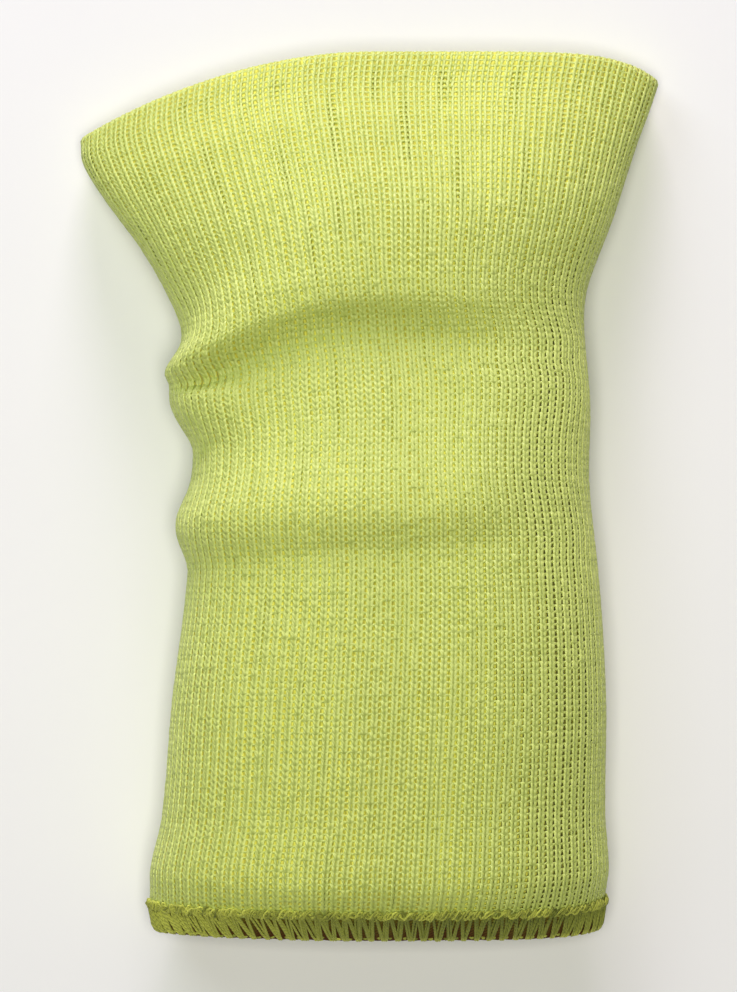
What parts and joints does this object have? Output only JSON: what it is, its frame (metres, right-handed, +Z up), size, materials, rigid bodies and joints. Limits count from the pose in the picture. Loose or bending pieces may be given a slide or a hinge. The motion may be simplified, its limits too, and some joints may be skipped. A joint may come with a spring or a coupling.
{
  "type": "cut-resistant wristband",
  "caption": "Soft knitted cut-resistant wristband: an open tube flared at its turned-over lip, narrow at the wrist, with a thread-bound hem, lying flattened on its side.",
  "frame": {"origin": "centre of the bounding box at the floor the band lies on", "axes": "+Y along the sleeve from the sewn hem to the flared lip, +Z up through the front that shows, +X to the right seen from above with the lip away"},
  "size_m": [0.1169, 0.1788, 0.0385],
  "materials": {
    "aramid_knit": "plain jersey knit of pale yellow-green spun yarn, matt with a soft sheen",
    "overlock_thread": "sewn overlock edging in a deeper yellow-green thread"
  },
  "bodies": {
    "root": {"knit_sleeve": "aramid_knit", "overlock_edge": "overlock_thread"}
  },
  "joints": []
}
